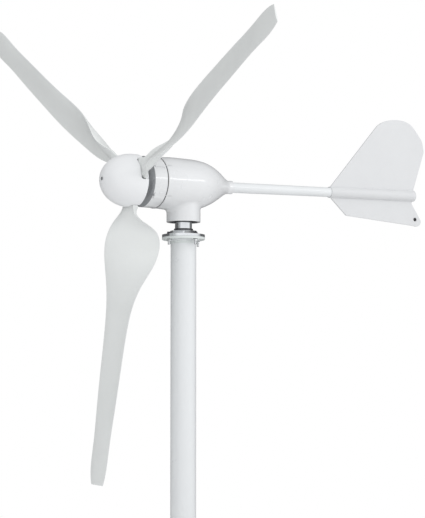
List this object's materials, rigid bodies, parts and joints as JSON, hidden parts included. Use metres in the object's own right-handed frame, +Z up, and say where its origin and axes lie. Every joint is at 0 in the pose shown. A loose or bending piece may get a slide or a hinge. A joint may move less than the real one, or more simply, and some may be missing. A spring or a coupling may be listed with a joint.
{
  "type": "small wind turbine",
  "caption": "Small horizontal-axis wind turbine with twisted blades, rounded spinner, smooth nacelle, tail boom with fin, and a flanged yaw spindle on a round steel mast.",
  "frame": {"origin": "centre of the mast foot, on its lower end face", "axes": "+Z up along the mast and yaw axis; +X from the yaw axis to the rotor, along the rotor axis at rest"},
  "size_m": [0.9498, 1.2452, 1.2785],
  "materials": {
    "mast_white": "gloss powder coat",
    "nacelle_white": "gloss paint",
    "flange_grey": "gloss paint",
    "blade_white": "moulded, satin",
    "spinner_white": "moulded, gloss",
    "fin_white": "moulded, satin",
    "polished_steel": "polished",
    "black_steel": "black oxide",
    "zinc_steel": "zinc plated",
    "ground_steel": "ground",
    "bearing_steel": "polished",
    "black_rubber": "moulded",
    "cable_black": "extruded",
    "cast_aluminium": "machined casting",
    "core_steel": "stacked sheet",
    "copper": "enamelled wire",
    "slip_brass": "polished",
    "carbon": "pressed carbon",
    "insulation": "phenolic moulding",
    "magnet_nickel": "nickel plated"
  },
  "bodies": {
    "mast": {"mast_tube": "mast_white", "mast_flange": "flange_grey", "flange_bolts": "black_steel", "flange_washers": "black_steel", "flange_nuts": "zinc_steel", "yaw_flange": "polished_steel", "yaw_spindle": "polished_steel", "yaw_dust_seal": "black_rubber", "yaw_bearing_inner_races": "bearing_steel", "bearing_spacer": "ground_steel", "spindle_lock_nut": "zinc_steel", "slip_ring_sleeve": "insulation", "slip_rings": "slip_brass", "output_cable": "cable_black"},
    "nacelle": {"nacelle_shell": "nacelle_white", "neck_seal": "black_rubber", "yaw_bearing_outer_races": "bearing_steel", "yaw_bearing_balls": "bearing_steel", "front_housing": "nacelle_white", "housing_screws": "zinc_steel", "housing_gasket": "black_rubber", "shaft_seal": "black_rubber", "bearing_plate": "cast_aluminium", "shaft_bearing_outer_races": "bearing_steel", "shaft_bearing_balls": "bearing_steel", "stator_core": "core_steel", "stator_coils": "copper", "brush_block": "insulation", "brushes": "carbon", "phase_leads": "cable_black", "tail_boom": "mast_white", "tail_fin": "fin_white"},
    "rotor": {"shaft_bearing_inner_races": "bearing_steel", "main_shaft": "ground_steel", "shaft_key": "ground_steel", "rotor_core": "core_steel", "rotor_magnets": "magnet_nickel", "hub": "cast_aluminium", "blade_clamp_plate": "cast_aluminium", "blade_bolts": "zinc_steel", "hub_washer": "zinc_steel", "hub_nut": "zinc_steel", "blade_1": "blade_white", "blade_2": "blade_white", "blade_3": "blade_white", "spinner": "spinner_white", "spinner_stud": "zinc_steel", "spinner_screw": "zinc_steel"}
  },
  "joints": [
    {"name": "yaw", "type": "hinge", "parent": "mast", "child": "nacelle", "pos_m": [0, 0, 0.783], "axis": [0, 0, 1], "continuous": true},
    {"name": "rotor_spin", "type": "hinge", "parent": "nacelle", "child": "rotor", "pos_m": [0.147, 0, 0.845], "axis": [1, 0, 0], "continuous": true}
  ]
}
